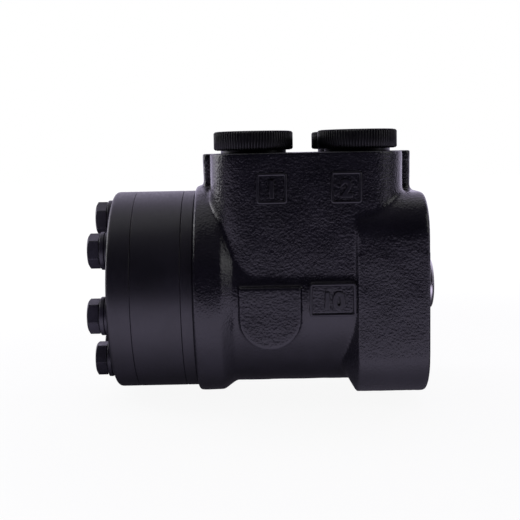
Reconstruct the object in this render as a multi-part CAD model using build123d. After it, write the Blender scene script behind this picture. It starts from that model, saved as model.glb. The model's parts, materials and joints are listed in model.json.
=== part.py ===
from build123d import *
import math
import os

# Orbital steering unit, in millimetres.
# Origin: centre of the front mounting face. +X runs out along the steering shaft, +Z up to the ports.

# Stack along the shaft, from the front face back
housing_length = 96.0
plate_thickness = 5.0
gear_width = 20.5
cover_thickness = 9.8
body_radius = 43.0
cover_edge_radius = 2.2

# Housing casting
rear_flange_radius = 45.3
rear_flange_width = 11.0
rear_flange_slope = 5.5
neck_radius = 41.4
front_flange_half_width = 43.0
front_flange_half_height = 42.0
front_flange_corner = 18.0
front_flange_back = 28.9
flange_taper_depth = 6.9
flange_taper_angle = 60.0
front_flange_edge = 1.6
casting_radius = 1.5

# Port block
port_face_height = 59.0
block_back = 88.5
block_front = 8.7
block_half_depth = 40.4
block_corner = 18.0
rib_back = 92.4
rib_front = 2.6
rib_half_width = 9.0
rib_corner = 3.0

# Raised pads cast on the side
pad_face = 43.0
pad_root = 37.0
shield_centre = 64.9
shield_width = 25.0
shield_top = 5.3
shield_bottom = 20.4
label_pad_centre = 39.5
label_pad_width = 18.0
label_pad_height = 12.7
label_pad_face = 42.3

# Ports and their caps
port_spacing_x = 43.3
port_spacing_y = 42.0
port_centre_x = 48.75
port_radius = 10.2
port_depth = 17.0
port_chamfer = 1.2
gallery_radius = 3.0
gallery_offset = 14.0
cap_radius = 16.5
cap_rim_radius = 15.6
cap_height = 7.8
cap_chamfer = 0.9
cap_collar_radius = 13.6
cap_collar_height = 1.2
cap_stub_length = 10.0
cap_wall = 2.0
cap_dish_radius = 11.5
cap_dish_depth = 0.8

# Cover bolts: M8 on a circle, one at the top
bolt_count = 7
bolt_circle_radius = 31.4
bolt_radius = 4.0
bolt_hole_radius = 4.3
bolt_thread_depth = 18.0
bolt_head_flats = 13.0
bolt_head_height = 5.3
bolt_washer_face = 0.6
bolt_end_gap = 1.0
washer_radius = 8.0
washer_thickness = 1.8
seal_washer_radius = 7.7
seal_washer_thickness = 1.5

# Front mounting holes
mount_circle_diameter = 82.5
mount_count = 4
mount_hole_radius = 4.25
mount_hole_depth = 18.0

# Gear set: a six-toothed wheel orbits in a seven-lobed ring
lobe_count = bolt_count
lobe_circle_radius = 32.8
lobe_radius = 9.0
eccentricity = 3.2
wheel_gap = 0.05
wheel_side_gap = 0.05
wheel_points = 378
ring_corner_radius = 1.2

# Cardan shaft and its splines
spline_teeth = 12
wheel_spline_root = 10.0
wheel_spline_tip = 8.2
shaft_spline_tip = 9.55
shaft_spline_root = 7.7
spline_side_gap = 0.32
shaft_radius = 7.5
fork_radius = 8.4
fork_reach = 6.5
fork_depth = 7.0
fork_gap = 0.15
shaft_spline_length = 10.0
spacer_length = 3.4
spacer_gap = 0.1

# Spool, sleeve and the pieces that join them
sleeve_radius = 19.0
sleeve_front = 21.9
sleeve_end_gap = 0.1
running_gap = 0.03
spool_radius = 14.5
spool_front = 22.5
spool_bore_radius = 11.0
spool_bore_front = 24.8
journal_radius = 11.8
journal_reach = 7.2
journal_chamfer = 1.0
input_spline_root = 9.4
input_spline_tip = 8.3
input_spline_depth = 24.0
input_mouth_radius = 9.8
input_mouth_depth = 3.0
cross_pin_radius = 4.0
cross_pin_x = 40.0
cross_pin_end_gap = 0.3
spool_pin_hole_radius = 6.6
spring_x = 28.5
spring_width = 5.8
spring_half_length = 17.9
spring_thickness = 0.6
spring_bow = 1.4
spring_pitch = 0.66
spring_slot_gap = 0.25
spool_slot_half_width = 5.8
spring_seat_radius = 18.2
spring_seat_half_width = 4.6
spring_ring_radius = 18.9
spring_ring_half_width = 4.2

# Oilways
groove_radius = 21.5
groove_width = 5.0
first_groove = 52.0
groove_pitch = 10.0
groove_centres = [first_groove + groove_pitch * step for step in range(4)]
return_gallery = 31.0
gallery_aims = (groove_centres[2], return_gallery, groove_centres[1], return_gallery)
sleeve_hole_radius = 1.5
sleeve_hole_count = 6
spool_groove_count = 6
spool_groove_radius = 1.3
spool_groove_length = 26.0
timing_radius = 27.0
timing_hole_radius = 2.2
timing_hole_depth = 14.0
timing_branch_radius = 1.4

# Thrust bearing in front of the sleeve
bearing_bore = 12.7
bearing_outer = 18.7
race_thickness = 1.5
bearing_gap = 0.1
cage_thickness = 1.8
needle_radius = 1.15
needle_length = 4.6
needle_count = 16
needle_slot_gap = 0.1
bearing_shoulder = 16.1

# Shaft seal and dust seal
seal_outer = 16.4
seal_gap = 0.05
shaft_seal_front = 7.6
shaft_seal_back = 13.4
dust_seal_front = 0.9
dust_seal_back = 5.9
dust_seal_outer = 15.9
seal_land_radius = 12.6

# Body seals
seal_ring_radius = 38.6
seal_ring_section = 0.84
seal_groove_half_width = 1.3
seal_groove_depth = 1.7

# Check valve at the bottom of one bolt hole
check_chamber_radius = 3.35
check_chamber_length = 12.0
check_ball_radius = 3.1
check_seat_length = 4.0
check_seat_bore = 2.2
check_lift = 1.4
check_passage_length = 5.0
check_branch_radius = 1.8
roll_pin_radius = 1.4
roll_pin_in_bolt = 8.0

# Stations along X, worked out from the stack
housing_rear = -housing_length
plate_rear = housing_rear - plate_thickness
gear_rear = plate_rear - gear_width
cover_rear = gear_rear - cover_thickness
wheel_mid_x = (plate_rear + gear_rear) / 2
washer_rear = cover_rear - seal_washer_thickness - washer_thickness
bolt_tip_x = housing_rear + bolt_thread_depth - bolt_end_gap
bolt_hole_end_x = housing_rear + bolt_thread_depth
sleeve_bore_radius = sleeve_radius + running_gap
spool_outer = spool_radius - running_gap
shaft_tilt = math.degrees(math.atan2(eccentricity, -cross_pin_x - wheel_mid_x))
lobe_step = 360.0 / lobe_count
wheel_teeth = lobe_count - 1


def station(x, y=0.0, z=0.0):
    """A plane square to the shaft, whose own axes are +Y and +Z."""
    return Plane(origin=(x, y, z), x_dir=(0, 1, 0), z_dir=(1, 0, 0))


def rod(x_from, x_to, radius, y=0.0, z=0.0):
    """A round bar along X between two stations."""
    low = min(x_from, x_to)
    return extrude(station(low, y, z) * Circle(radius), abs(x_to - x_from))


def tube(x_from, x_to, outer, inner, y=0.0, z=0.0):
    """A round tube along X between two stations."""
    low = min(x_from, x_to)
    return extrude(station(low, y, z) * (Circle(outer) - Circle(inner)), abs(x_to - x_from))


def turned(*points):
    """A solid of revolution about the shaft, from (x, radius) points."""
    return revolve(make_face(Polyline(*points, close=True)), Axis.X, 360)


def on_circle(radius, count, first_angle):
    """(y, z, angle) of holes on a circle about the shaft, with angles from +Y towards +Z."""
    places = []
    for index in range(count):
        angle = first_angle + index * 360.0 / count
        turn = math.radians(angle)
        places.append((radius * math.cos(turn), radius * math.sin(turn), angle))
    return places


bolt_places = on_circle(bolt_circle_radius, bolt_count, 90.0)
timing_places = on_circle(timing_radius, lobe_count, 90.0 + lobe_step / 2)
mount_places = on_circle(mount_circle_diameter / 2, mount_count, 45.0)
port_places = [
    (-port_centre_x + side_x * port_spacing_x / 2, side_y * port_spacing_y / 2)
    for side_y in (-1, 1)
    for side_x in (-1, 1)
]
check_y, check_z, check_angle = bolt_places[2]


def splined(radius_tip, radius_root, side_gap, inward):
    """A spline outline: teeth that point outwards on a shaft, or the hole of a splined bore."""
    pitch = (wheel_spline_root + wheel_spline_tip) / 2
    half_tooth = math.pi * pitch / (2 * spline_teeth) + (0.0 if inward else -side_gap)
    outline = Circle(radius_root)
    tooth = Rectangle(radius_tip, 2 * half_tooth, align=(Align.MIN, Align.CENTER))
    tooth = tooth & Circle(radius_tip)
    for index in range(spline_teeth):
        outline += Rot(0, 0, index * 360.0 / spline_teeth) * tooth
    return outline


def seal_groove(face_x, direction):
    """A face groove for a body seal, cut from face_x towards +X or -X."""
    inner = seal_ring_radius - seal_groove_half_width
    outer = seal_ring_radius + seal_groove_half_width
    return tube(face_x, face_x + direction * seal_groove_depth, outer, inner)


def body_seal(face_x, direction):
    """A round-section seal ring that lies in a face groove and meets the joint face."""
    centre_x = face_x + direction * (seal_groove_depth - seal_ring_section)
    section = Plane.XY * Pos(centre_x, seal_ring_radius) * Rot(0, 0, 22.5) * RegularPolygon(
        seal_ring_section, 8, major_radius=False)
    return revolve(section, Axis.X, 360)


# ---------------------------------------------------------------- housing

def make_casting():
    """The outside of the housing: rear flange, neck, front flange, port block and pads."""
    flange_front = housing_rear + rear_flange_width
    neck_start = flange_front + rear_flange_slope
    profile = make_face(Polyline(
        (housing_rear, 0),
        (housing_rear, rear_flange_radius),
        (flange_front, rear_flange_radius),
        (neck_start, neck_radius),
        (-front_flange_back, neck_radius),
        (-front_flange_back, 0),
        close=True,
    ))
    rounded = [v for v in profile.vertices() if v.Y > neck_radius - 1 and v.X < neck_start + 1]
    profile = fillet(rounded, casting_radius)
    barrel = revolve(profile, Axis.X, 360)

    outline = RectangleRounded(
        2 * front_flange_half_width, 2 * front_flange_half_height, front_flange_corner)
    flange = extrude(station(-front_flange_back) * outline, front_flange_back)
    flange = fillet(flange.faces().sort_by(Axis.X)[-1].outer_wire().edges(), front_flange_edge)
    rearward = Plane(origin=(-front_flange_back, 0, 0), x_dir=(0, 1, 0), z_dir=(-1, 0, 0))
    flange += extrude(rearward * outline, flange_taper_depth, taper=flange_taper_angle)

    block_mid = -(block_back + block_front) / 2
    block_plan = Pos(block_mid, 0) * RectangleRounded(
        block_back - block_front, 2 * block_half_depth, block_corner)
    block = extrude(block_plan, port_face_height)
    rib_mid = -(rib_back + rib_front) / 2
    rib_plan = Pos(rib_mid, 0) * RectangleRounded(
        rib_back - rib_front, 2 * rib_half_width, rib_corner)
    block += extrude(rib_plan, port_face_height)

    return barrel + flange + block + make_pads()


def make_pads():
    """The shield-shaped pad and the small label pad, both raised on the near side."""
    half = shield_width / 2
    side = Plane(origin=(0, -pad_root, 0), x_dir=(1, 0, 0), z_dir=(0, -1, 0))
    straight_end = -shield_bottom + half
    left = -shield_centre - half
    right = -shield_centre + half
    top = Polyline((left, straight_end), (left, shield_top), (right, shield_top), (right, straight_end))
    bowl = ThreePointArc((right, straight_end), (-shield_centre, -shield_bottom), (left, straight_end))
    shield = extrude(side * make_face(Curve() + [top, bowl]), pad_face - pad_root)
    label = side * Pos(-label_pad_centre, 0) * RectangleRounded(label_pad_width, label_pad_height, 1.0)
    return shield + extrude(label, label_pad_face - pad_root)


def make_oilways():
    """Every hole and groove in the housing."""
    cuts = rod(housing_rear, -bearing_shoulder, sleeve_bore_radius)
    cuts += rod(-bearing_shoulder, 0, seal_land_radius)
    cuts += rod(-shaft_seal_back, -shaft_seal_front, seal_outer)
    cuts += rod(-dust_seal_back, 0, dust_seal_outer)
    for centre in groove_centres:
        cuts += rod(-centre - groove_width / 2, -centre + groove_width / 2, groove_radius)
    cuts += seal_groove(housing_rear, 1)
    for y, z, angle in bolt_places:
        cuts += rod(housing_rear, bolt_hole_end_x, bolt_radius + running_gap, y, z)
    for y, z, angle in mount_places:
        cuts += rod(-mount_hole_depth, 0, mount_hole_radius, y, z)
    for y, z, angle in timing_places:
        hole_end = housing_rear + timing_hole_depth
        cuts += rod(housing_rear, hole_end, timing_hole_radius, y, z)
        branch = Plane(origin=(hole_end - timing_hole_radius, 0, 0), z_dir=(0, y, z))
        cuts += extrude(branch * Circle(timing_branch_radius), timing_radius)
    for (x, y), gallery_x in zip(port_places, gallery_stations()):
        thread = Cylinder(port_radius, port_depth, align=(Align.CENTER, Align.CENTER, Align.MAX))
        mouth = Cone(port_radius, port_radius + port_chamfer, port_chamfer,
                     align=(Align.CENTER, Align.CENTER, Align.MAX))
        cuts += Pos(x, y, port_face_height) * (thread + mouth)
        inner_y = math.copysign(gallery_offset, y)
        gallery_height = port_face_height - port_depth
        gallery = Cylinder(gallery_radius, gallery_height, align=(Align.CENTER, Align.CENTER, Align.MIN))
        cuts += Pos(gallery_x, inner_y, 0) * gallery
    chamber_end = bolt_hole_end_x + check_chamber_length
    passage_end = chamber_end + check_passage_length
    cuts += rod(bolt_hole_end_x, chamber_end, check_chamber_radius, check_y, check_z)
    cuts += rod(chamber_end, passage_end, check_seat_bore, check_y, check_z)
    branch = Plane(origin=((chamber_end + passage_end) / 2, check_y, check_z),
                   z_dir=(0, -check_y, -check_z))
    cuts += extrude(branch * Circle(check_branch_radius), bolt_circle_radius - spool_radius)
    return cuts


def gallery_stations():
    """Each port's gallery drops into its own groove, inside the port's floor."""
    stations = []
    for (x, y), groove in zip(port_places, gallery_aims):
        nearest = max(x - port_radius + gallery_radius, min(x + port_radius - gallery_radius, -groove))
        stations.append(nearest)
    return stations


def make_housing():
    return make_casting() - make_oilways()


# ---------------------------------------------------------------- plates and gear set

def bolt_holes(x_from, x_to):
    holes = Part()
    for y, z, angle in bolt_places:
        holes += rod(x_from, x_to, bolt_hole_radius, y, z)
    return holes


def make_plate():
    plate = rod(housing_rear, plate_rear, body_radius) - rod(housing_rear, plate_rear, shaft_opening())
    plate -= bolt_holes(housing_rear, plate_rear)
    for y, z, angle in timing_places:
        plate -= rod(housing_rear, plate_rear, timing_hole_radius, y, z)
    return plate


def shaft_opening():
    """The plate's bore clears the tilted cardan shaft as it sweeps round."""
    return shaft_radius + eccentricity + 1.8


def make_ring():
    cavity_radius = lobe_circle_radius + 2 * eccentricity - lobe_radius + wheel_gap + 0.05
    cavity = Circle(cavity_radius)
    for y, z, angle in on_circle(lobe_circle_radius, lobe_count, 90.0):
        cavity -= Pos(y, z) * Circle(lobe_radius)
    corners = cavity.vertices()
    cavity = fillet(corners, ring_corner_radius)
    ring = extrude(station(gear_rear) * (Circle(body_radius) - cavity), gear_width)
    ring -= bolt_holes(gear_rear, plate_rear)
    ring -= seal_groove(plate_rear, -1)
    return ring - seal_groove(gear_rear, 1)


def wheel_outline():
    """The wheel's curve: the path of a lobe's centre seen from the wheel, set in by the lobe's radius."""
    inset = lobe_radius + wheel_gap
    points = []
    for index in range(wheel_points):
        turn = 2 * math.pi * index / wheel_points
        phase = lobe_count * (turn - math.pi / 2)
        y = lobe_circle_radius * math.cos(turn) - eccentricity * math.cos(phase)
        z = lobe_circle_radius * math.sin(turn) - eccentricity * math.sin(phase)
        dy = -lobe_circle_radius * math.sin(turn) + lobe_count * eccentricity * math.sin(phase)
        dz = lobe_circle_radius * math.cos(turn) - lobe_count * eccentricity * math.cos(phase)
        size = math.hypot(dy, dz)
        points.append((y - inset * dz / size, z + inset * dy / size))
    return make_face(Polyline(*points, close=True))


def make_wheel():
    rest_turn = -90.0 / wheel_teeth
    outline = Rot(0, 0, rest_turn) * wheel_outline()
    outline -= splined(wheel_spline_root, wheel_spline_tip, 0, True)
    middle = station(gear_rear + wheel_side_gap, 0, eccentricity)
    return extrude(middle * outline, gear_width - 2 * wheel_side_gap)


def make_cover():
    cover = rod(cover_rear, gear_rear, body_radius)
    rim = cover.edges().filter_by(GeomType.CIRCLE).sort_by(Axis.X)[0]
    cover = fillet(rim, cover_edge_radius)
    return cover - bolt_holes(cover_rear, gear_rear)


# ---------------------------------------------------------------- fasteners

def make_bolt():
    """One hexagon bolt on the shaft's own axis, ready to be moved to its place."""
    head_top = washer_rear - bolt_head_height
    head = extrude(station(head_top) * RegularPolygon(bolt_head_flats / 2, 6, major_radius=False),
                   bolt_head_height - bolt_washer_face)
    corner = bolt_head_flats / 2 / math.cos(math.pi / 6)
    flat = bolt_head_flats / 2
    drop = (corner - flat * 0.95) * math.tan(math.radians(30))
    head &= turned((head_top, 0), (head_top, flat * 0.95), (head_top + drop, corner),
                   (washer_rear, corner), (washer_rear, 0))
    head += rod(washer_rear - bolt_washer_face, washer_rear, flat * 0.98)
    return head + rod(washer_rear, bolt_tip_x, bolt_radius)


def make_cover_bolts():
    bolt = make_bolt()
    spread = [Pos(0, y, z) * Rot(angle, 0, 0) * bolt for y, z, angle in bolt_places
              if (y, z) != (check_y, check_z)]
    return Compound(children=spread)


def make_pin_bolt():
    bolt = make_bolt() - rod(bolt_tip_x - roll_pin_in_bolt, bolt_tip_x, roll_pin_radius)
    return Pos(0, check_y, check_z) * Rot(check_angle, 0, 0) * bolt


def ball_rest_x():
    """The check ball rests on its seat, at the far end of its chamber."""
    seat_face = bolt_hole_end_x + check_chamber_length - check_seat_length
    return seat_face - math.sqrt(check_ball_radius ** 2 - check_seat_bore ** 2) - running_gap


def make_roll_pin():
    tip = ball_rest_x() - check_ball_radius - check_lift - 0.1
    return rod(bolt_tip_x - roll_pin_in_bolt, tip, roll_pin_radius, check_y, check_z)


def make_washers(face_x, thickness, radius):
    spread = []
    for y, z, angle in bolt_places:
        spread.append(tube(face_x, face_x - thickness, radius, bolt_hole_radius, y, z))
    return Compound(children=spread)


def make_check_seat():
    end = bolt_hole_end_x + check_chamber_length
    return tube(end - check_seat_length, end, check_chamber_radius, check_seat_bore, check_y, check_z)


def make_check_ball():
    return Pos(ball_rest_x(), check_y, check_z) * Sphere(check_ball_radius)


# ---------------------------------------------------------------- cardan shaft

def make_drive_shaft():
    """The cardan shaft, built level about the cross pin and then tilted to the wheel's centre."""
    reach = math.hypot(-cross_pin_x - wheel_mid_x, eccentricity)
    body = rod(-fork_depth - 4, fork_reach, fork_radius)
    body += rod(-reach, -fork_depth - 2, shaft_radius)
    half = shaft_spline_length / 2
    teeth = station(-reach - half) * splined(shaft_spline_tip, shaft_spline_root, spline_side_gap, False)
    body += extrude(teeth, shaft_spline_length)
    slot_half = cross_pin_radius + fork_gap
    slot = Box(fork_reach + fork_depth - slot_half, 4 * fork_radius, 2 * slot_half,
               align=(Align.MIN, Align.CENTER, Align.CENTER))
    body -= Pos(slot_half - fork_depth, 0, 0) * slot
    body -= Pos(slot_half - fork_depth, 0, 0) * Rot(90, 0, 0) * Cylinder(slot_half, 4 * fork_radius)
    return Pos(-cross_pin_x, 0, 0) * Rot(0, shaft_tilt, 0) * body


def make_spacer():
    radius = wheel_spline_tip - spacer_gap
    rear = gear_rear + spacer_gap
    return rod(rear, rear + spacer_length, radius, 0, eccentricity)


# ---------------------------------------------------------------- spool and sleeve

def radial_holes(x, radius, count, first_angle, reach):
    holes = Part()
    for y, z, angle in on_circle(1.0, count, first_angle):
        drill = Plane(origin=(x, 0, 0), z_dir=(0, y, z))
        holes += extrude(drill * Circle(radius), reach)
    return holes


def make_spool():
    rear = housing_rear + 2 * sleeve_end_gap
    spool = turned(
        (rear, 0), (rear, spool_outer), (-spool_front, spool_outer),
        (-spool_front, journal_radius), (journal_reach - journal_chamfer, journal_radius),
        (journal_reach, journal_radius - journal_chamfer), (journal_reach, 0),
    )
    spool -= rod(rear, -spool_bore_front, spool_bore_radius)
    spline = splined(input_spline_root, input_spline_tip, 0, True)
    spool -= extrude(station(journal_reach - input_spline_depth) * spline, input_spline_depth)
    spool -= rod(journal_reach - input_mouth_depth, journal_reach, input_mouth_radius)
    spool -= Pos(-cross_pin_x, 0, 0) * Rot(90, 0, 0) * Cylinder(spool_pin_hole_radius, 4 * spool_radius)
    slot = Box(spring_width + 4 * spring_slot_gap, 2 * spool_slot_half_width, 4 * spool_radius)
    spool -= Pos(-spring_x, 0, 0) * slot
    for y, z, angle in on_circle(spool_outer, spool_groove_count, 30.0):
        middle = -(groove_centres[0] + groove_centres[-1]) / 2
        spool -= rod(middle - spool_groove_length / 2, middle + spool_groove_length / 2,
                     spool_groove_radius, y, z)
    return spool


def make_sleeve():
    rear = housing_rear + sleeve_end_gap
    sleeve = tube(rear, -sleeve_front, sleeve_radius, spool_radius)
    sleeve -= tube(-spring_x - spring_seat_half_width, -spring_x + spring_seat_half_width,
                   sleeve_radius + 1, spring_seat_radius)
    sleeve -= Pos(-cross_pin_x, 0, 0) * Rot(90, 0, 0) * Cylinder(cross_pin_radius, 4 * sleeve_radius)
    slot_half = spring_pack_half_width() + spring_slot_gap
    slot = Box(spring_width + 2 * spring_slot_gap, 2 * slot_half, 4 * sleeve_radius)
    sleeve -= Pos(-spring_x, 0, 0) * slot
    for index, centre in enumerate(groove_centres):
        start = 30.0 * (index % 2)
        sleeve -= radial_holes(-centre, sleeve_hole_radius, sleeve_hole_count, start, 2 * sleeve_radius)
    return sleeve


def make_cross_pin():
    length = 2 * (sleeve_radius - cross_pin_end_gap)
    pin = Pos(-cross_pin_x, 0, 0) * Rot(90, 0, 0) * Cylinder(cross_pin_radius, length)
    return chamfer(pin.edges().filter_by(GeomType.CIRCLE), 0.5)


def spring_pack_half_width():
    return 3 * spring_pitch + spring_bow


def make_flat_springs():
    leaf = Box(spring_width, spring_thickness, 2 * spring_half_length)
    leaves = [Pos(-spring_x, side * spring_pitch / 2, 0) * leaf for side in (-1, 1)]
    return Compound(children=leaves)


def make_bent_springs():
    """Bowed leaves that lie on the flat pair at the middle and stand off at their ends."""
    bend_radius = (spring_half_length ** 2 + spring_bow ** 2) / (2 * spring_bow)
    leaves = []
    for side in (-1, 1):
        for layer in (1, 2):
            inner = layer * spring_pitch
            leaf = station(-spring_x - spring_width / 2) * (
                Pos(inner + bend_radius, 0) * (Circle(bend_radius) - Circle(bend_radius - spring_thickness))
                & Rectangle(4 * spring_bow + 2 * inner, 2 * spring_half_length))
            leaf = extrude(leaf, spring_width)
            leaves.append(leaf if side > 0 else Rot(180, 0, 0) * leaf)
    return Compound(children=leaves)


def make_spring_ring():
    return tube(-spring_x - spring_ring_half_width, -spring_x + spring_ring_half_width,
                spring_ring_radius, spring_seat_radius)


# ---------------------------------------------------------------- bearing and seals

def bearing_stations():
    """Rear faces of the inner race, the cage's middle and the outer race."""
    inner_rear = -sleeve_front
    inner_front = inner_rear + race_thickness
    outer_rear = -bearing_shoulder - race_thickness
    return inner_rear, (inner_front + outer_rear) / 2, outer_rear


def make_inner_race():
    rear = bearing_stations()[0]
    return tube(rear, rear + race_thickness, bearing_outer, bearing_bore)


def make_outer_race():
    rear = bearing_stations()[2]
    return tube(rear, rear + race_thickness, bearing_outer, bearing_bore)


def needle_middle():
    return (bearing_outer + bearing_bore) / 2


def make_cage():
    middle = bearing_stations()[1]
    cage = tube(middle - cage_thickness / 2, middle + cage_thickness / 2,
                bearing_outer - bearing_gap, bearing_bore + bearing_gap)
    window = Box(2 * cage_thickness, needle_length + 2 * needle_slot_gap,
                 2 * (needle_radius + needle_slot_gap))
    for y, z, angle in on_circle(needle_middle(), needle_count, 0.0):
        cage -= Pos(middle, y, z) * Rot(angle, 0, 0) * window
    return cage


def make_needles():
    middle = bearing_stations()[1]
    needle = Rot(90, 0, 0) * Cylinder(needle_radius, needle_length)
    spread = [Pos(middle, y, z) * Rot(angle, 0, 0) * needle
              for y, z, angle in on_circle(needle_middle(), needle_count, 0.0)]
    return Compound(children=spread)


def make_shaft_seal():
    """A U-shaped seal: a heel in the groove and a lip that leans on the shaft."""
    bore = journal_radius + seal_gap
    front = -shaft_seal_front
    back = -shaft_seal_back
    split = (bore + seal_outer) / 2
    return turned(
        (front, bore + 0.8), (front, seal_outer), (back, seal_outer), (back, split + 0.7),
        (back + 2.6, split + 0.4), (back + 2.6, split - 0.4), (back, split - 0.7), (back, bore),
        (back + 1.2, bore),
    )


def make_dust_seal():
    bore = journal_radius + seal_gap
    front = -dust_seal_front
    back = -dust_seal_back
    return turned(
        (front, bore), (front, bore + 0.9), (front - 1.6, bore + 1.9), (front - 1.6, dust_seal_outer),
        (back, dust_seal_outer), (back, bore + 1.2), (front - 2.2, bore + 0.5),
    )


# ---------------------------------------------------------------- port caps

def make_cap():
    """A hollow screw plug with a wide head, standing on the port face at the origin."""
    seat = cap_collar_height
    top = seat + cap_height
    stub_radius = port_radius - running_gap
    profile = make_face(Polyline(
        (0, top - cap_dish_depth),
        (cap_dish_radius, top - cap_dish_depth),
        (cap_dish_radius + cap_dish_depth, top),
        (cap_rim_radius, top),
        (cap_radius, top - cap_chamfer),
        (cap_radius, seat + cap_chamfer),
        (cap_rim_radius, seat),
        (cap_collar_radius, seat),
        (cap_collar_radius, 0),
        (stub_radius, 0),
        (stub_radius, -cap_stub_length + 1),
        (stub_radius - 1, -cap_stub_length),
        (stub_radius - cap_wall, -cap_stub_length),
        (stub_radius - cap_wall, seat + cap_wall),
        (0, seat + cap_wall),
        close=True,
    ))
    return revolve(Plane.XZ * profile, Axis.Z, 360)


# ---------------------------------------------------------------- write the parts

pieces = {
    "housing": make_housing(),
    "distributor_plate": make_plate(),
    "gear_ring": make_ring(),
    "gear_wheel": make_wheel(),
    "end_cover": make_cover(),
    "cover_bolts": make_cover_bolts(),
    "pin_bolt": make_pin_bolt(),
    "roll_pin": make_roll_pin(),
    "cover_washers": make_washers(cover_rear - seal_washer_thickness, washer_thickness, washer_radius),
    "seal_washers": make_washers(cover_rear, seal_washer_thickness, seal_washer_radius),
    "check_seat": make_check_seat(),
    "check_ball": make_check_ball(),
    "drive_shaft": make_drive_shaft(),
    "spacer": make_spacer(),
    "spool": make_spool(),
    "sleeve": make_sleeve(),
    "cross_pin": make_cross_pin(),
    "flat_springs": make_flat_springs(),
    "bent_springs": make_bent_springs(),
    "spring_ring": make_spring_ring(),
    "bearing_inner_race": make_inner_race(),
    "needle_cage": make_cage(),
    "needles": make_needles(),
    "bearing_outer_race": make_outer_race(),
    "shaft_seal": make_shaft_seal(),
    "dust_seal": make_dust_seal(),
    "housing_seal": body_seal(housing_rear, 1),
    "plate_seal": body_seal(plate_rear, -1),
    "cover_seal": body_seal(gear_rear, 1),
}
for number, (cap_x, cap_y) in enumerate(port_places, start=1):
    pieces[f"port_cap_{number}"] = Pos(cap_x, cap_y, port_face_height) * make_cap()

os.makedirs("parts", exist_ok=True)
for name, piece in pieces.items():
    export_step(piece, f"parts/{name}.step")
    print(name, round(piece.volume, 1))
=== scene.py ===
import bpy, bmesh, json, math
from contextlib import contextmanager
from mathutils import Matrix, Vector, noise


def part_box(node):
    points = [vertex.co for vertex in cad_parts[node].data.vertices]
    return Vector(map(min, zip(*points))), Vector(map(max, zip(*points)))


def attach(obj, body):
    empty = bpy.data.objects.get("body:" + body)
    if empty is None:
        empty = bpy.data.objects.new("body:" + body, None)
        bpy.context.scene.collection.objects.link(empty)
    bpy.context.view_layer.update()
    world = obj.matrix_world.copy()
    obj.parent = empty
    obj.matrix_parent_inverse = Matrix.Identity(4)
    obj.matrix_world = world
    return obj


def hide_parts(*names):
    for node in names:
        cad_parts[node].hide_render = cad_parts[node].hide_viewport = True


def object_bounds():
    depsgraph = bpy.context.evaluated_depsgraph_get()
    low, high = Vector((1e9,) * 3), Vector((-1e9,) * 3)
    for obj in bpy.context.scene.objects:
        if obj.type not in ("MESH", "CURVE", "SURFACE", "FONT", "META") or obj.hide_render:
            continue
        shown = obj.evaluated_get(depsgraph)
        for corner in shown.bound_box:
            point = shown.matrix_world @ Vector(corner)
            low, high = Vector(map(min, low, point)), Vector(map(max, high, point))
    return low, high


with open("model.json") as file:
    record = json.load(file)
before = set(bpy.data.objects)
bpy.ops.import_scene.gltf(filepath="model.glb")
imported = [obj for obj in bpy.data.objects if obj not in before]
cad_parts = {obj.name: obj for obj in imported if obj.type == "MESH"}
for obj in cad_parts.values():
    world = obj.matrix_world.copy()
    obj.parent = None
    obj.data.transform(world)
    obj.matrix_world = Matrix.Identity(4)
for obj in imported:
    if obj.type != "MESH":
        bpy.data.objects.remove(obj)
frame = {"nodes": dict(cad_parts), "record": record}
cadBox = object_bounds()
mm = 0.001  # sizes are in millimetres, unless a note says metres

# The unit's axis is X, with the mounting face at x = 0 and the ports on top.
stack = {
    "housingRear": -96.0,
    "plateRear": -101.0,
    "gearRear": -121.5,
    "coverRear": -131.3,
    "bodyRadius": 43.0,
    "boltCircle": 31.4,
    "boltCount": 7,
    "firstBolt": 90,  # degrees from Y towards Z
    "mountingCircle": 82.5,
    "portFace": 59.0,
    "portColumns": (-70.4, -27.1),
    "portRows": (-21.0, 21.0),
}
portPlaces = [(x, y) for y in stack["portRows"] for x in stack["portColumns"]]


# Helpers

def linked(piece):
    bpy.context.scene.collection.objects.link(piece)
    return piece


def meshPiece(name, vertices, faces):
    mesh = bpy.data.meshes.new(name)
    mesh.from_pydata([Vector(v) * mm for v in vertices], [], faces)
    return linked(bpy.data.objects.new(name, mesh))


def bake(piece):  # turns modifiers, curves and node trees into a plain mesh at the origin
    bpy.context.view_layer.update()
    graph = bpy.context.evaluated_depsgraph_get()
    mesh = bpy.data.meshes.new_from_object(piece.evaluated_get(graph), depsgraph=graph)
    mesh.transform(piece.matrix_world)
    name = piece.name
    piece.name = name + ".old"
    bpy.data.objects.remove(piece)
    return linked(bpy.data.objects.new(name, mesh))


@contextmanager
def editing(piece):  # the piece's mesh as a bmesh, written back at the end
    work = bmesh.new()
    work.from_mesh(piece.data)
    yield work
    work.to_mesh(piece.data)
    work.free()


def takeIn(piece, other):  # adds another piece's mesh and removes that piece
    with editing(piece) as work:
        work.from_mesh(other.data)
    bpy.data.objects.remove(other)


def cleanCopy(node, name):  # a merged copy of a CAD node's mesh
    piece = linked(bpy.data.objects.new(name, frame["nodes"][node].data.copy()))
    with editing(piece) as work:
        bmesh.ops.remove_doubles(work, verts=work.verts, dist=1e-6)
    return piece


def smoothAll(piece):
    piece.data.polygons.foreach_set("use_smooth", [True] * len(piece.data.polygons))
    return piece


def shadeByAngle(piece, degrees):
    smoothAll(piece).data.set_sharp_from_angle(angle=math.radians(degrees))
    return piece


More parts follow.
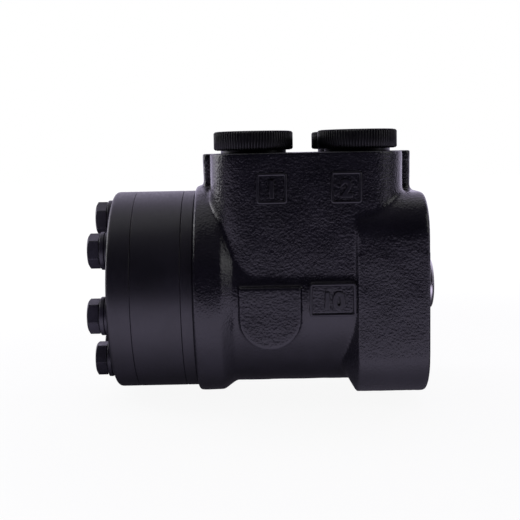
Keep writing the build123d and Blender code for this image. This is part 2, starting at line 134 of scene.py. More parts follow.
def rounded(corners, steps):  # (along, r, rounding) corners made into (along, r) points
    points = []
    places = [Vector(corner[:2]) for corner in corners]
    for index, (here, corner) in enumerate(zip(places, corners)):
        radius = corner[2]
        if radius <= 0:
            points.append(here)
            continue
        before = places[index - 1] - here
        after = places[(index + 1) % len(places)] - here
        run = radius / math.tan(before.angle(after) / 2)
        start, end = here + before.normalized() * run, here + after.normalized() * run
        for step in range(steps + 1):
            t = step / steps
            points.append(start * (1 - t) ** 2 + here * 2 * t * (1 - t) + end * t * t)
    return points


def lathe(name, profile, segments, axis="X", centre=(0, 0, 0)):  # (along, r) points turned round an axis
    count, faces, vertices = len(profile), [], []
    for index in range(segments):
        turn = 2 * math.pi * index / segments
        for along, radius in profile:
            a, b = radius * math.cos(turn), radius * math.sin(turn)
            vertices.append((along, a, b) if axis == "X" else (a, b, along))
    for index in range(segments):
        after = (index + 1) % segments
        for point in range(count):
            pointAfter = (point + 1) % count
            faces.append((index * count + point, index * count + pointAfter,
                          after * count + pointAfter, after * count + point))
    piece = meshPiece(name, [Vector(v) + Vector(centre) for v in vertices], faces)
    with editing(piece) as work:
        bmesh.ops.remove_doubles(work, verts=work.verts, dist=1e-7)
        bmesh.ops.dissolve_degenerate(work, edges=work.edges, dist=1e-8)
        bmesh.ops.recalc_face_normals(work, faces=work.faces)
    return piece


def intersect(piece, tool):  # keeps what lies in both, and removes the tool
    cut = piece.modifiers.new("cut", "BOOLEAN")
    cut.operation = "INTERSECT"
    cut.solver = "MANIFOLD"
    cut.object = tool
    made = bake(piece)
    bpy.data.objects.remove(tool)
    print(made.name, "faces", len(made.data.polygons))
    return made


def paintOver(piece, material):
    piece.data.materials.clear()
    piece.data.materials.append(material)
    for face in piece.data.polygons:
        face.material_index = 0


def settle(piece, body, material, slotName, *nodes):
    paintOver(piece, material)
    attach(piece, body)
    if nodes:
        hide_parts(*nodes)
    return piece


class Wiring:  # adds nodes to a tree; an input is a plain value or another node's output
    def __init__(self, tree):
        self.nodes, self.links = tree.nodes, tree.links

    def add(self, kind, inputs=None, **settings):
        node = self.nodes.new(kind)
        for name, setting in settings.items():
            setattr(node, name, setting)
        for name, value in (inputs or {}).items():
            if isinstance(value, bpy.types.NodeSocket):
                self.links.new(value, node.inputs[name])
            else:
                node.inputs[name].default_value = value
        return node

    def maths(self, operation, *values):
        return self.add("ShaderNodeMath", dict(enumerate(values)), operation=operation).outputs[0]

    def slide(self, value, span, low, high):  # goes smoothly from low to high over a span of the value
        ends = {"Value": value, "From Min": span[0], "From Max": span[1], "To Min": low, "To Max": high}
        return self.add("ShaderNodeMapRange", ends, interpolation_type="SMOOTHSTEP").outputs["Result"]

    def byCamera(self, others, camera):  # one shader for the camera's own rays, another for all others
        ray = self.add("ShaderNodeLightPath").outputs["Is Camera Ray"]
        return self.add("ShaderNodeMixShader", {0: ray, 1: others, 2: camera}).outputs[0]


# Materials

noiseSpan = {"colour": (0.35, 0.65), "gloss": (0.3, 0.7)}  # the part of a pattern's range that is used


class Shader(Wiring):  # a material whose patterns follow the piece's own coordinates
    def __init__(self, name, colour, roughness, metallic=0.0, specular=0.5):
        self.material = bpy.data.materials.new(name)
        self.material.use_nodes = True
        super().__init__(self.material.node_tree)
        self.shader = self.nodes["Principled BSDF"]
        plain = {"Base Color": (*colour, 1), "Roughness": roughness, "Metallic": metallic,
                 "Specular IOR Level": specular}
        for socket, value in plain.items():
            self.shader.inputs[socket].default_value = value
        self.place = self.add("ShaderNodeTexCoord").outputs["Object"]

    def noise(self, scale, detail=3.0, roughness=0.55, stretch=(1, 1, 1)):
        mapping = self.add("ShaderNodeMapping", {"Vector": self.place, "Scale": stretch})
        pattern = {"Vector": mapping.outputs["Vector"], "Scale": scale, "Detail": detail,
                   "Roughness": roughness}
        return self.add("ShaderNodeTexNoise", pattern).outputs["Fac"]

    def rings(self, scale):  # fine turning marks round the X axis
        pattern = {"Vector": self.place, "Scale": scale, "Distortion": 0.6, "Detail": 2.0}
        return self.add("ShaderNodeTexWave", pattern, wave_type="BANDS", bands_direction="X").outputs["Fac"]

    def bump(self, height, distance, strength=1.0):  # each bump is laid over the one before
        node = self.add("ShaderNodeBump", {"Distance": distance * mm, "Strength": strength,
                                           "Height": height})
        normal = self.shader.inputs["Normal"]
        if normal.is_linked:
            self.links.new(normal.links[0].from_socket, node.inputs["Normal"])
        self.links.new(node.outputs["Normal"], normal)

    def colours(self, value, dark, light):  # spreads two colours over a pattern
        node = self.add("ShaderNodeValToRGB", {"Fac": value})
        ends = zip(node.color_ramp.elements, noiseSpan["colour"], (dark, light))
        for element, position, colour in ends:
            element.position = position
            element.color = (*colour, 1)
        self.links.new(node.outputs["Color"], self.shader.inputs["Base Color"])

    def gloss(self, value, low, high):  # spreads the roughness over a pattern
        start, end = noiseSpan["gloss"]
        node = self.add("ShaderNodeMapRange", {"Value": value, "From Min": start, "From Max": end,
                                               "To Min": low, "To Max": high})
        self.links.new(node.outputs["Result"], self.shader.inputs["Roughness"])


paint = {
    "dark": (0.0062, 0.0060, 0.0086),
    "light": (0.0105, 0.0100, 0.0140),
    "specular": 0.43,
}


def castingPaint():
    kit = Shader("castingPaint", paint["dark"], 0.26, specular=paint["specular"])
    kit.colours(kit.noise(90, detail=4), paint["dark"], paint["light"])
    kit.gloss(kit.noise(420), 0.16, 0.26)
    kit.bump(kit.noise(1150, detail=2, roughness=0.5), distance=0.19)
    return kit.material


def markPaint():  # the same paint where it has flowed smooth over the raised marks
    kit = Shader("markPaint", paint["dark"], 0.28)
    kit.colours(kit.noise(90, detail=4), paint["dark"], paint["light"])
    kit.bump(kit.noise(1150, detail=2, roughness=0.5), distance=0.05, strength=0.8)
    return kit.material


def turnedPaint():
    kit = Shader("turnedPaint", paint["dark"], 0.36)
    kit.colours(kit.noise(60), paint["dark"], paint["light"])
    kit.gloss(kit.noise(300, stretch=(3, 1, 1)), 0.33, 0.42)
    kit.bump(kit.noise(900, roughness=0.6), distance=0.012, strength=0.6)
    kit.bump(kit.rings(1600), distance=0.004, strength=0.5)
    return kit.material


def boltBlack():
    kit = Shader("boltBlack", (0.020, 0.019, 0.027), 0.44)
    kit.colours(kit.noise(260), (0.016, 0.015, 0.022), (0.026, 0.0245, 0.034))
    kit.gloss(kit.noise(700), 0.38, 0.50)
    kit.bump(kit.noise(1500), distance=0.02, strength=0.6)
    return kit.material


def capPlastic():
    kit = Shader("capPlastic", (0.0035, 0.0035, 0.0045), 0.34, specular=0.35)
    kit.colours(kit.noise(150), (0.0028, 0.0028, 0.0036), (0.0046, 0.0046, 0.0056))
    kit.gloss(kit.noise(500, detail=4), 0.30, 0.40)
    kit.bump(kit.noise(2200), distance=0.012, strength=0.6)
    return kit.material


def brightSteel():
    kit = Shader("brightSteel", (0.60, 0.59, 0.58), 0.24, metallic=1.0)
    kit.colours(kit.noise(200), (0.52, 0.51, 0.50), (0.66, 0.65, 0.64))
    kit.gloss(kit.noise(900, stretch=(6, 1, 1)), 0.18, 0.32)
    kit.bump(kit.rings(2600), distance=0.003, strength=0.5)
    return kit.material


def gearSteel():
    kit = Shader("gearSteel", (0.42, 0.42, 0.43), 0.34, metallic=1.0)
    kit.colours(kit.noise(160), (0.36, 0.36, 0.37), (0.48, 0.48, 0.49))
    kit.gloss(kit.noise(800), 0.28, 0.42)
    kit.bump(kit.noise(1800, stretch=(1, 8, 8)), distance=0.006, strength=0.5)
    return kit.material


def springSteel():
    kit = Shader("springSteel", (0.16, 0.17, 0.20), 0.32, metallic=1.0)
    kit.colours(kit.noise(240), (0.12, 0.13, 0.16), (0.20, 0.21, 0.24))
    kit.gloss(kit.noise(900), 0.26, 0.40)
    return kit.material


def sealRubber():
    kit = Shader("sealRubber", (0.012, 0.012, 0.012), 0.62)
    kit.colours(kit.noise(400), (0.010, 0.010, 0.010), (0.016, 0.016, 0.016))
    kit.bump(kit.noise(1600), distance=0.02, strength=0.5)
    return kit.material


finishes = {
    "casting_paint": castingPaint(),
    "machined_paint": turnedPaint(),
    "bolt_black": boltBlack(),
    "cap_plastic": capPlastic(),
    "bright_steel": brightSteel(),
    "gear_steel": gearSteel(),
    "spring_steel": springSteel(),
    "seal_rubber": sealRubber(),
}
for row in frame["record"]["subparts"]:
    paintOver(frame["nodes"][row["node"]], finishes[row["material_slot"]])
print("materials made")


# Camera, lights and stage

cameraSet = {
    "place": (-70.0, -425.8, 60.0),
    "yaw": -0.21,
    "pitch": -6.48,
    "roll": 1.11,
    "focalPixels": 963.0,
    "pictureWidth": 520.0,
}


def makeCamera():
    data = bpy.data.cameras.new("camera")
    data.sensor_width = 36.0
    data.lens = cameraSet["focalPixels"] / cameraSet["pictureWidth"] * data.sensor_width
    data.clip_start = 0.01
    data.clip_end = 50.0
    camera = linked(bpy.data.objects.new("camera", data))
    turn = Matrix.Rotation(math.radians(cameraSet["yaw"]), 4, "Z")
    turn @= Matrix.Rotation(math.radians(cameraSet["pitch"]), 4, "X")
    turn @= Matrix.Rotation(math.radians(cameraSet["roll"]), 4, "Y")
    turn @= Matrix.Rotation(math.radians(90), 4, "X")
    camera.matrix_world = Matrix.Translation(Vector(cameraSet["place"]) * mm) @ turn
    bpy.context.scene.camera = camera


lamps = {  # place, target and size in metres, power in watts
    "overhead": {"place": (-0.10, 0.10, 0.85), "target": (-0.07, 0, 0), "size": (1.2, 0.5), "power": 1.0},
    "leftSide": {"place": (-0.95, 0.35, 0.35), "target": (-0.12, 0, 0.02), "size": (0.5, 0.7), "power": 3.0},
    "rightSide": {"place": (0.95, -0.25, 0.45), "target": (0, 0, 0), "size": (0.6, 0.6), "power": 1.6},
}


def makeLamps():
    for name, values in lamps.items():
        data = bpy.data.lights.new(name, "AREA")
        data.shape = "RECTANGLE"
        data.size, data.size_y = values["size"]
        data.energy = values["power"]
        lamp = linked(bpy.data.objects.new(name, data))
        lamp.location = values["place"]
        away = Vector(values["target"]) - Vector(values["place"])
        lamp.rotation_euler = away.to_track_quat("-Z", "Y").to_euler()


glow = {  # brightness of the room in each direction, and of the floor's glow: a painted pool of light in front of the unit and painted shadow under it
    "front": 0.012,
    "ceiling": 0.15,
    "backdrop": 1.0,
    "floorBright": 1.20,
    "floorFar": 0.0,
    "floorPaintedShadow": 0.05,
    # painted shadow: the floor's glow under the unit
    "floorSeen": 1.05,
    "shadowKeep": 0.88,
    "tint": (0.96, 0.875, 1.17),
}
spans = {  # where each one fades: by the direction's height and depth in the room, in metres on the floor
    "ceiling": (0.45, 0.98),
    "backdrop": (0.10, 0.70),
    # painted shadow: where the floor's glow falls off under the unit
    "paintedShadowBeneath": (-0.085, -0.015),
    "front": (-0.62, -0.10),
    "beyond": (0.12, 0.60),
    "shadow": (0.15, 0.50),
}
floorSet = {
    "half": 3000,
    "gap": 0.4,
    "colour": (0.86, 0.86, 0.87),
    "roughness": 0.9,
}
white = (1, 1, 1, 1)


def makeWorld():
    world = bpy.data.worlds.new("studio")
    bpy.context.scene.world = world
    world.use_nodes = True
    world.node_tree.nodes.clear()
    kit = Wiring(world.node_tree)
    direction = kit.add("ShaderNodeTexCoord").outputs["Generated"]
    split = kit.add("ShaderNodeSeparateXYZ", {0: direction}).outputs
    ceiling = kit.slide(split["Z"], spans["ceiling"], glow["front"], glow["ceiling"])
    backdrop = kit.slide(split["Y"], spans["backdrop"], 0.0, glow["backdrop"])
    strength = kit.maths("MAXIMUM", ceiling, backdrop)
    lit = kit.add("ShaderNodeBackground", {"Color": (*glow["tint"], 1), "Strength": strength})
    seen = kit.add("ShaderNodeBackground", {"Color": white})
    kit.add("ShaderNodeOutputWorld", {"Surface": kit.byCamera(lit.outputs[0], seen.outputs[0])})


def makeFloor():  # white with a faint shadow to the camera; to other rays it glows, a painted pool of light in front of the unit and painted shadow under it
    half = floorSet["half"]
    corners = [(-half, -half, 0), (half, -half, 0), (half, half, 0), (-half, half, 0)]
    floor = meshPiece("floor", corners, [(0, 1, 2, 3)])
    floor.location.z = cadBox[0].z - floorSet["gap"] * mm
    kit = Shader("paleFloor", floorSet["colour"], floorSet["roughness"])
    depth = kit.add("ShaderNodeSeparateXYZ", {0: kit.place}).outputs["Y"]
    # painted shadow: the glow that other rays see drops almost to nothing under the unit
    near = kit.slide(depth, spans["paintedShadowBeneath"], glow["floorBright"], glow["floorPaintedShadow"])
    far = kit.slide(depth, spans["front"], glow["floorFar"], 1.0)
    beyond = kit.slide(depth, spans["beyond"], 0.0, glow["floorBright"])
    strength = kit.maths("MAXIMUM", kit.maths("MULTIPLY", near, far), beyond)
    lit = kit.add("ShaderNodeEmission", {"Color": (*glow["tint"], 1), "Strength": strength})
    seen = kit.add("ShaderNodeEmission", {"Color": white, "Strength": glow["floorSeen"]})
    reach = kit.add("ShaderNodeVectorMath", {0: kit.place}, operation="LENGTH").outputs["Value"]
    plain = kit.slide(reach, spans["shadow"], glow["shadowKeep"], 1.0)
    shown = kit.add("ShaderNodeMixShader", {0: plain, 1: kit.shader.outputs[0], 2: seen.outputs[0]})
    surface = kit.nodes["Material Output"].inputs["Surface"]
    kit.links.new(kit.byCamera(lit.outputs[0], shown.outputs[0]), surface)
    floor.data.materials.append(kit.material)


makeCamera()
makeLamps()
makeWorld()
makeFloor()
bpy.context.scene.view_settings.view_transform = "Standard"
print("camera and lights set")


# Housing

casting = {
    "voxel": 0.60,
    "coreRadius": 36.0,  # the core fills the inside, which the bore's mouth alone shows
    "coreFront": -19.0,
    "coreGap": 0.05,
    "mouthRadius": 22.0,
    "mouthFront": -15.0,
    "softenSteps": 5,
    "filletSteps": 26,
    "filletLow": 18.0,
    "filletHigh": 55.0,
    "filletRear": -81.0,
    "filletFront": -32.0,
    "filletBlend": 3.0,
    "grainSize": 1.7,
    "grainDepth": 0.045,
    "swellSize": 11.0,
    "swellDepth": 0.16,
    "swellShift": (7, 3, 1),
    "machinedBand": 0.6,
    "grainBlend": 2.0,
    "faceTilt": 0.9,
    "boreReach": 20.0,
    "boreDepth": -16.0,
    "facesKept": 0.505,
}

boltSpot = stack["mountingCircle"] / 2 / math.sqrt(2)
threads = {  # each hole is opened by the room round its bore, and a threaded ring fills that room
    "port": {
        "axis": "Z", "top": stack["portFace"] + 0.03, "crest": 10.22, "chamfer": 1.2, "pitch": 1.81,
        "groove": 0.65, "depth": 16.9, "room": 11.8, "wall": 12.8, "segments": 128, "slot": "gear_steel",
        "centres": [(x, y, 0) for x, y in portPlaces],
    },
    "mounting": {
        "axis": "X", "top": 0.03, "crest": 4.25, "chamfer": 0.7, "pitch": 1.5, "groove": 0.6,
        "depth": 17.9, "room": 5.4, "wall": 6.2, "segments": 64, "slot": "machined_paint",
        "centres": [(0, y, z) for y in (-boltSpot, boltSpot) for z in (-boltSpot, boltSpot)],
    },
}
holeEdge = {"below": 1.0, "inside": 0.3, "outside": 0.1}  # how near a bore its edge's vertices lie


def openHoles(piece):  # moves each bore's edge out, so that the remesh leaves room for its thread
    for vertex in piece.data.vertices:
        spot = vertex.co / mm
        for size in threads.values():
            axis = 2 if size["axis"] == "Z" else 0
            if spot[axis] < size["top"] - size["depth"] - holeEdge["below"]:
                continue
            for centre in size["centres"]:
                away = spot - Vector(centre)
                away[axis] = 0
                reach = away.length
                if size["crest"] - holeEdge["inside"] < reach < size["room"] - holeEdge["outside"]:
                    vertex.co += away.normalized() * (size["room"] - reach) * mm


def castGrain(piece):  # sand-cast swells and grain, kept off the machined faces
    mesh = piece.data
    spots = [vertex.co.copy() for vertex in mesh.vertices]
    normals = [vertex.normal.copy() for vertex in mesh.vertices]
    shift = Vector(casting["swellShift"])
    moved = []
    for co, normal in zip(spots, normals):
        spot = co / mm
        edge = min(abs(spot.x), abs(spot.x - stack["housingRear"]), abs(spot.z - stack["portFace"]))
        keep = min(1.0, max(0.0, (edge - casting["machinedBand"]) / casting["grainBlend"]))
        grain = noise.noise(spot / casting["grainSize"]) * casting["grainDepth"]
        swell = noise.noise(spot / casting["swellSize"] + shift) * casting["swellDepth"]
        moved.extend(co + normal * (grain + swell) * keep * mm)
    mesh.vertices.foreach_set("co", moved)
    mesh.update()


def isMachined(spot, normal):  # the mounting face, the port face and the bore are cut, not cast
    band, tilt = casting["machinedBand"], casting["faceTilt"]
    mounting = spot.x > -band and normal.x > tilt
    ports = spot.z > stack["portFace"] - band and normal.z > tilt
    bore = math.hypot(spot.y, spot.z) < casting["boreReach"] and spot.x > casting["boreDepth"]
    return mounting or ports or bore


def cornerWeight(spot):  # 1 in the inside corners where the block meets the round flanges
    if spot.z < casting["filletLow"] or spot.z > casting["filletHigh"]:
        return 0.0
    rear = casting["filletRear"] - spot.x
    front = spot.x - casting["filletFront"]
    return min(1.0, max(0.0, max(rear, front) / casting["filletBlend"]))


def fillInside(piece):
    rear = stack["housingRear"] + casting["coreGap"]
    front, radius = casting["coreFront"], casting["coreRadius"]
    mouth, mouthRadius = casting["mouthFront"], casting["mouthRadius"]
    takeIn(piece, lathe("core", [(rear, 0), (rear, radius), (front, radius), (front, mouthRadius),
                                 (mouth, mouthRadius), (mouth, 0)], segments=64))


def smoothed(piece, steps, groupName=""):
    smooth = piece.modifiers.new("smooth", "SMOOTH")
    smooth.factor = 0.5
    smooth.iterations = steps
    smooth.vertex_group = groupName
    return bake(piece)


def makeCasting():
    piece = cleanCopy("housing", "castHousing")
    openHoles(piece)
    fillInside(piece)
    remesh = piece.modifiers.new("remesh", "REMESH")
    remesh.mode = "VOXEL"
    remesh.voxel_size = casting["voxel"] * mm
    piece = smoothed(piece, casting["softenSteps"])
    corners = piece.vertex_groups.new(name="corners")
    for vertex in piece.data.vertices:
        weight = cornerWeight(vertex.co / mm)
        if weight > 0:
            corners.add([vertex.index], weight, "REPLACE")
    piece = smoothed(piece, casting["filletSteps"], corners.name)
    castGrain(piece)
    thin = piece.modifiers.new("thin", "DECIMATE")  # takes faces out where the surface is flat
    thin.ratio = casting["facesKept"]
    piece = smoothAll(bake(piece))
    print("housing faces", len(piece.data.polygons))
    settle(piece, "root", finishes["casting_paint"], "casting_paint", "housing")
    piece.data.materials.append(finishes["machined_paint"])
    for face in piece.data.polygons:
        if isMachined(face.center / mm, face.normal):
            face.material_index = 1


makeCasting()
print("housing made")


# Threads of the ports and of the mounting holes

def threadProfile(size):  # (along, r) points of a ring whose bore carries the thread's grooves
    top, crest, wall = size["top"], size["crest"], size["wall"]
    bottom = top - size["depth"]
    along = top - size["chamfer"]
    points = [(top, wall), (top, crest + size["chamfer"]), (along, crest)]
    while along - size["pitch"] > bottom:
        points += [(along - size["pitch"] / 2, crest + size["groove"]), (along - size["pitch"], crest)]
        along -= size["pitch"]
    return points + [(bottom, crest), (bottom, wall)]


def makeThreads():
    for kind, size in threads.items():
        for number, centre in enumerate(size["centres"], 1):
            ring = lathe("%sThread%d" % (kind, number), threadProfile(size), size["segments"],
                         size["axis"], centre)
            settle(shadeByAngle(ring, 25), "root", finishes[size["slot"]], size["slot"])


makeThreads()
print("threads made")


# Raised frames and plain numbers on the casting

marks = {
    "frames": {  # centre x, z, width, height and the face they stand on
        "1": (-63.4, 44.8, 11.2, 11.2, -40.4),
        "2": (-33.5, 44.7, 11.4, 11.6, -40.4),
        "10": (-39.5, -0.3, 17.6, 12.4, -42.3),
    },
    "frameThickness": 1.25,
    "frameCorner": 0.7,
    "cornerSteps": 4,
    "numberHeight": 6.9,
    "fontScale": 1.35,  # font size for a number one millimetre high
    "numberSwell": 0.22,
    "numberStand": 0.85,
    "numberDrop": 0.7,
    "sink": 0.5,
}


def frameBar(name, x, z, width, height, face):  # a round bar bent into a rectangle
    data = bpy.data.curves.new(name, "CURVE")
    data.dimensions = "3D"
    data.bevel_depth = marks["frameThickness"] / 2 * mm
    data.bevel_resolution = 3
    spline = data.splines.new("POLY")
    corner, steps, points = marks["frameCorner"], marks["cornerSteps"], []
    for cx, cz, start in ((1, 1, 0), (-1, 1, 90), (-1, -1, 180), (1, -1, 270)):
        for step in range(steps + 1):
            turn = math.radians(start + step * 90 / steps)
            points.append((x + cx * (width / 2 - corner) + corner * math.cos(turn),
                           z + cz * (height / 2 - corner) + corner * math.sin(turn)))
    spline.points.add(len(points) - 1)
    for point, (px, pz) in zip(spline.points, points):
        point.co = (px * mm, face * mm, pz * mm, 1)
    spline.use_cyclic_u = True
    return bake(linked(bpy.data.objects.new(name, data)))


def raisedNumber(name, text, x, z, face):
    data = bpy.data.curves.new(name, "FONT")
    data.body = text
    data.size = marks["numberHeight"] * marks["fontScale"] * mm
    data.align_x = "CENTER"
    data.align_y = "CENTER"
    data.extrude = (marks["numberStand"] + marks["sink"]) / 2 * mm
    data.bevel_depth = marks["numberSwell"] * mm
    data.bevel_resolution = 2
    data.offset = marks["numberSwell"] * mm
    number = linked(bpy.data.objects.new(name, data))
    middle = face - (marks["numberStand"] - marks["sink"]) / 2
    number.matrix_world = (Matrix.Translation(Vector((x, middle, z - marks["numberDrop"])) * mm)
                           @ Matrix.Rotation(math.radians(90), 4, "X"))
    return bake(number)


def makeMarks():
    smoothPaint = markPaint()
    for text, (x, z, width, height, face) in marks["frames"].items():
        bar = shadeByAngle(frameBar("frame" + text, x, z, width, height, face), 60)
        settle(bar, "root", smoothPaint, "casting_paint")
        number = shadeByAngle(raisedNumber("number" + text, text, x, z, face), 50)
        settle(number, "root", smoothPaint, "casting_paint")


makeMarks()
print("marks made")


# Plate, ring and cover, turned smooth

turnedParts = {  # the stack's faces that each one lies between, and how far its two edges are rounded
    "distributor_plate": {"from": "housingRear", "to": "plateRear", "edge": 0.5, "rim": 0.5},
    "gear_ring": {"from": "plateRear", "to": "gearRear", "edge": 0.5, "rim": 0.5},
    "end_cover": {"from": "gearRear", "to": "coverRear", "edge": 0.5, "rim": 2.2},
}
clearCut = {  # the CAD solid's outside is pushed clear, so that only its holes and lobes cut
    "rimBand": 3.0,
    "rimScale": 1.08,
    "facePush": 0.5,
    "faceTouch": 0.01,
}


def pushClear(piece, low, high):
    touch, push = clearCut["faceTouch"] * mm, clearCut["facePush"] * mm
    rim = (stack["bodyRadius"] - clearCut["rimBand"]) * mm
    for vertex in piece.data.vertices:
        if math.hypot(vertex.co.y, vertex.co.z) > rim:
            vertex.co.y *= clearCut["rimScale"]
            vertex.co.z *= clearCut["rimScale"]
        if vertex.co.x < low * mm + touch:
            vertex.co.x -= push
        if vertex.co.x > high * mm - touch:
            vertex.co.x += push


def turnedDisc(node, values):
    front, rear, radius = stack[values["from"]], stack[values["to"]], stack["bodyRadius"]
    outline = rounded([(front, 0, 0), (front, radius, values["edge"]),
                       (rear, radius, values["rim"]), (rear, 0, 0)], steps=8)
    disc = lathe("turned_" + node, outline, segments=256)
    inside = cleanCopy(node, "inside")
    pushClear(inside, rear, front)
    disc = shadeByAngle(intersect(disc, inside), 30)
    settle(disc, "root", finishes["machined_paint"], "machined_paint", node)


for node, values in turnedParts.items():
    turnedDisc(node, values)
print("turned parts made")


# Bolts and washers

bolt = {
    "flats": 13.0,
    "headHeight": 5.3,
    "crown": 0.93,  # share of the flats that the chamfer leaves on top
    "chamferAngle": 30.0,
    "edge": 0.25,
    "washerFace": 0.6,
    "washerFaceSink": 0.2,
    "washerFaceRadius": 6.11,
    "washer": 1.8,
    "sealWasher": 1.5,
    "washerRadius": 8.0,
    "sealWasherRadius": 7.7,
    "holeRadius": 4.3,
    "shankRadius": 4.0,
    "tip": -79.0,
    "tipRound": 0.8,
    "faceRound": 0.1,
    "washerRound": 0.35,
    "washerHoleRound": 0.15,
    "reach": 9.0,  # how far from its axis a bolt's own mesh may lie
}


def hexHead(name, headTop, seat):  # a hexagonal prism, chamfered by a round blank
    flat = bolt["flats"] / 2
    corner = flat / math.cos(math.pi / 6)
    crown = flat * bolt["crown"]
    chamfer = (corner - crown) * math.tan(math.radians(bolt["chamferAngle"]))
    outline = rounded([(headTop, 0, 0), (headTop, crown, bolt["edge"]), (headTop + chamfer, corner, 0),
                       (seat, corner, 0), (seat, 0, 0)], steps=4)
    blank = lathe(name, outline, segments=96)
    clear = headTop - 1  # the prism stands out past the blank's crown
    turns = [math.radians(60 * side) for side in range(6)]
    vertices = [(x, corner * math.cos(turn), corner * math.sin(turn))
                for x in (clear, seat - bolt["washerFace"]) for turn in turns]
    faces = [tuple(range(5, -1, -1)), tuple(range(6, 12))]
    faces += [(k, (k + 1) % 6, 6 + (k + 1) % 6, 6 + k) for k in range(6)]
    prism = meshPiece("prism", vertices, faces)
    with editing(prism) as work:
        bmesh.ops.recalc_face_normals(work, faces=work.faces)
        lengthwise = [e for e in work.edges if abs(e.verts[0].co.x - e.verts[1].co.x) > 1e-6]
        bmesh.ops.bevel(work, geom=lengthwise, offset=bolt["edge"] * mm, segments=3, affect="EDGES")
    return intersect(blank, prism)


def makeBoltMesh():
    seat = stack["coverRear"] - bolt["sealWasher"] - bolt["washer"]
    head = hexHead("boltShape", seat - bolt["headHeight"], seat)
    sunk = seat - bolt["washerFace"] - bolt["washerFaceSink"]
    face, shank, tip = bolt["washerFaceRadius"], bolt["shankRadius"], bolt["tip"]
    outline = rounded([(sunk, 0, 0), (sunk, face, 0), (seat, face, bolt["faceRound"]), (seat, shank, 0),
                       (tip, shank, bolt["tipRound"]), (tip, 0, 0)], steps=4)
    takeIn(head, lathe("shank", outline, segments=64))
    return shadeByAngle(head, 32)


def ringTree(name, item, material):  # copies of an object round the X axis, each turned with its place
    tree = bpy.data.node_groups.new(name, "GeometryNodeTree")
    tree.interface.new_socket("Geometry", in_out="OUTPUT", socket_type="NodeSocketGeometry")
    for label, kind in (("Count", "Int"), ("Radius", "Float"), ("First Angle", "Float")):
        tree.interface.new_socket(label, in_out="INPUT", socket_type="NodeSocket" + kind)
    kit = Wiring(tree)
    given = kit.add("NodeGroupInput").outputs
    step = kit.maths("DIVIDE", 2 * math.pi, given["Count"])
    index = kit.add("GeometryNodeInputIndex").outputs[0]
    angle = kit.maths("MULTIPLY_ADD", index, step, given["First Angle"])
    across = kit.maths("MULTIPLY", kit.maths("COSINE", angle), given["Radius"])
    up = kit.maths("MULTIPLY", kit.maths("SINE", angle), given["Radius"])
    spot = kit.add("ShaderNodeCombineXYZ", {"Y": across, "Z": up}).outputs[0]
    turn = kit.add("ShaderNodeCombineXYZ", {"X": angle}).outputs[0]
    points = kit.add("GeometryNodePoints", {"Count": given["Count"], "Position": spot}).outputs[0]
    shape = kit.add("GeometryNodeObjectInfo", {"Object": item}).outputs["Geometry"]
    spread = kit.add("GeometryNodeInstanceOnPoints", {"Points": points, "Instance": shape, "Rotation": turn})
    real = kit.add("GeometryNodeRealizeInstances", {0: spread.outputs[0]})
    dress = kit.add("GeometryNodeSetMaterial", {"Geometry": real.outputs[0], "Material": material})
    kit.add("NodeGroupOutput", {0: dress.outputs[0]})
    return tree


def ringOf(name, item, count, radius, firstAngle, material):  # takes the item and returns the whole ring
    tree = ringTree(name, item, material)
    holder = linked(bpy.data.objects.new(name, bpy.data.meshes.new(name)))
    modifier = holder.modifiers.new("spread", "NODES")
    modifier.node_group = tree
    values = {"Count": count, "Radius": radius * mm, "First Angle": math.radians(firstAngle)}
    for socket in tree.interface.items_tree:
        if socket.in_out == "INPUT":
            modifier[socket.identifier] = values[socket.name]
    ring = bake(holder)
    bpy.data.objects.remove(item)
    return ring


def boltRing(name, item, degrees):
    ring = ringOf(name, item, stack["boltCount"], stack["boltCircle"], stack["firstBolt"],
                  finishes["bolt_black"])
    return shadeByAngle(ring, degrees)


def splitOff(piece, name, keep):  # moves the vertices that keep() picks into a piece of their own
    other = linked(bpy.data.objects.new(name, piece.data.copy()))
    for target, wanted in ((piece, False), (other, True)):
        with editing(target) as work:
            drop = [v for v in work.verts if keep(v.co) != wanted]
            bmesh.ops.delete(work, geom=drop, context="VERTS")
    return other


def makeBolts():
    ring = boltRing("hexBolts", makeBoltMesh(), 32)
    low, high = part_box("pin_bolt")
    middle = (low + high) / 2
    reach = bolt["reach"] * mm
    special = splitOff(ring, "hexPinBolt",
                       lambda co: math.hypot(co.y - middle.y, co.z - middle.z) < reach)
    for piece, node in ((ring, "cover_bolts"), (special, "pin_bolt")):
        settle(shadeByAngle(piece, 32), "root", finishes["bolt_black"], "bolt_black", node)


def makeWashers():
    cover, hole = stack["coverRear"], bolt["holeRadius"]
    outer, inner = bolt["washerRound"], bolt["washerHoleRound"]
    for name, node, front, thickness, radius in (
            ("flatWashers", "cover_washers", cover - bolt["sealWasher"], bolt["washer"],
             bolt["washerRadius"]),
            ("sealingWashers", "seal_washers", cover, bolt["sealWasher"], bolt["sealWasherRadius"])):
        rear = front - thickness
        outline = rounded([(rear, hole, inner), (rear, radius, outer), (front, radius, outer),
                           (front, hole, inner)], steps=3)
        ring = boltRing(name, shadeByAngle(lathe(name + "Shape", outline, segments=72), 40), 40)
        settle(ring, "root", finishes["bolt_black"], "bolt_black", node)


makeBolts()
makeWashers()
print("fasteners made")


# Port caps

cap = {
    "radius": 16.5,
    "height": 7.8,
    "rim": 0.9,
    "rimRound": 0.35,
    "dishRound": 0.3,
    "seatRound": 0.1,
    "dishRadius": 11.5,
    "dishDepth": 0.8,
    "collar": 1.2,
    "collarRadius": 13.6,
    "stubRadius": 10.17,
    "stubLength": 10.0,
    "stubChamfer": 1.0,
    "stubWall": 2.0,
    "ribCount": 86,
    "ribHeight": 0.38,
    "ribHalf": 0.42,
    "ribShoulder": 0.55,  # share of the half width where the rib starts to round over
    "ribRound": 0.12,
    "ribSink": 0.15,
    "ribEnd": 0.15,  # where a rib starts and where it reaches its full height, from the rims
    "ribFull": 0.75,
    "ribDrop": 0.55,
}


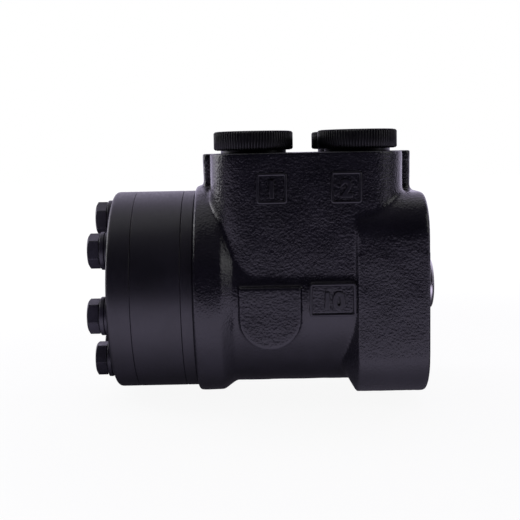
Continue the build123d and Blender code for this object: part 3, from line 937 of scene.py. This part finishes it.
def capBody():
    seat, top, rim = cap["collar"], cap["collar"] + cap["height"], cap["rim"]
    core, collar, dish = cap["radius"] - cap["ribHeight"], cap["collarRadius"], cap["dishRadius"]
    floor = top - cap["dishDepth"]
    stub, end, chamfer = cap["stubRadius"], -cap["stubLength"], cap["stubChamfer"]
    hollow, hollowTop = stub - cap["stubWall"], seat + cap["stubWall"]
    soft, small, wide = cap["dishRound"], cap["seatRound"], cap["rimRound"]
    outline = rounded([(floor, 0, 0), (floor, dish, soft), (top, dish + rim, soft),
                       (top, core - rim, wide), (top - rim, core, wide),
                       (seat + rim, core, wide), (seat, core - rim, wide),
                       (seat, collar, small), (0, collar, small), (0, stub, small),
                       (end + chamfer, stub, small), (end, stub - chamfer, small),
                       (end, hollow, 0), (hollowTop, hollow, soft), (hollowTop, 0, 0)], steps=4)
    return shadeByAngle(lathe("capBody", outline, segments=172, axis="Z"), 40)


def capRib():  # one rounded rib, with its ends run out into the rims
    half, crest = cap["ribHalf"], cap["radius"]
    shoulder, side = half * cap["ribShoulder"], crest - cap["ribRound"]
    foot = crest - cap["ribHeight"] - cap["ribSink"]
    section = [(foot, -half), (side, -shoulder), (crest, 0), (side, shoulder), (foot, half)]
    seat, top = cap["collar"], cap["collar"] + cap["height"]
    end, full, drop = cap["ribEnd"], cap["ribFull"], cap["ribDrop"]
    levels = [(seat + end, drop), (seat + full, 0), (top - full, 0), (top - end, drop)]
    vertices = [(out - lower, across, z) for z, lower in levels for out, across in section]
    count, last = len(section), len(section) * (len(levels) - 1)
    faces = []
    for level in range(0, last, count):
        for k in range(count):
            a, b = level + k, level + (k + 1) % count
            faces.append((a, b, b + count, a + count))
    faces += [tuple(range(count - 1, -1, -1)), tuple(range(last, last + count))]
    rib = meshPiece("capRib", vertices, faces)
    with editing(rib) as work:
        bmesh.ops.recalc_face_normals(work, faces=work.faces)
    return shadeByAngle(rib, 50)


def makeCaps():
    body, rib = capBody(), capRib()
    # the ring tree works about X, so the rib is laid over, spread and stood up again
    lay = Matrix.Rotation(math.radians(90), 4, "Y")
    rib.data.transform(lay)
    ribs = ringOf("capRibs", rib, cap["ribCount"], 0.0, 0, finishes["cap_plastic"])
    ribs.data.transform(lay.inverted())
    takeIn(body, ribs)
    for number, (x, y) in enumerate(portPlaces, 1):
        node = "port_cap_%d" % number
        mesh = body.data.copy()
        mesh.transform(Matrix.Translation(Vector((x, y, stack["portFace"])) * mm))
        piece = linked(bpy.data.objects.new("knurled_" + node, mesh))
        settle(piece, node, finishes["cap_plastic"], "cap_plastic", node)
    bpy.data.objects.remove(body)


makeCaps()
print("caps made")
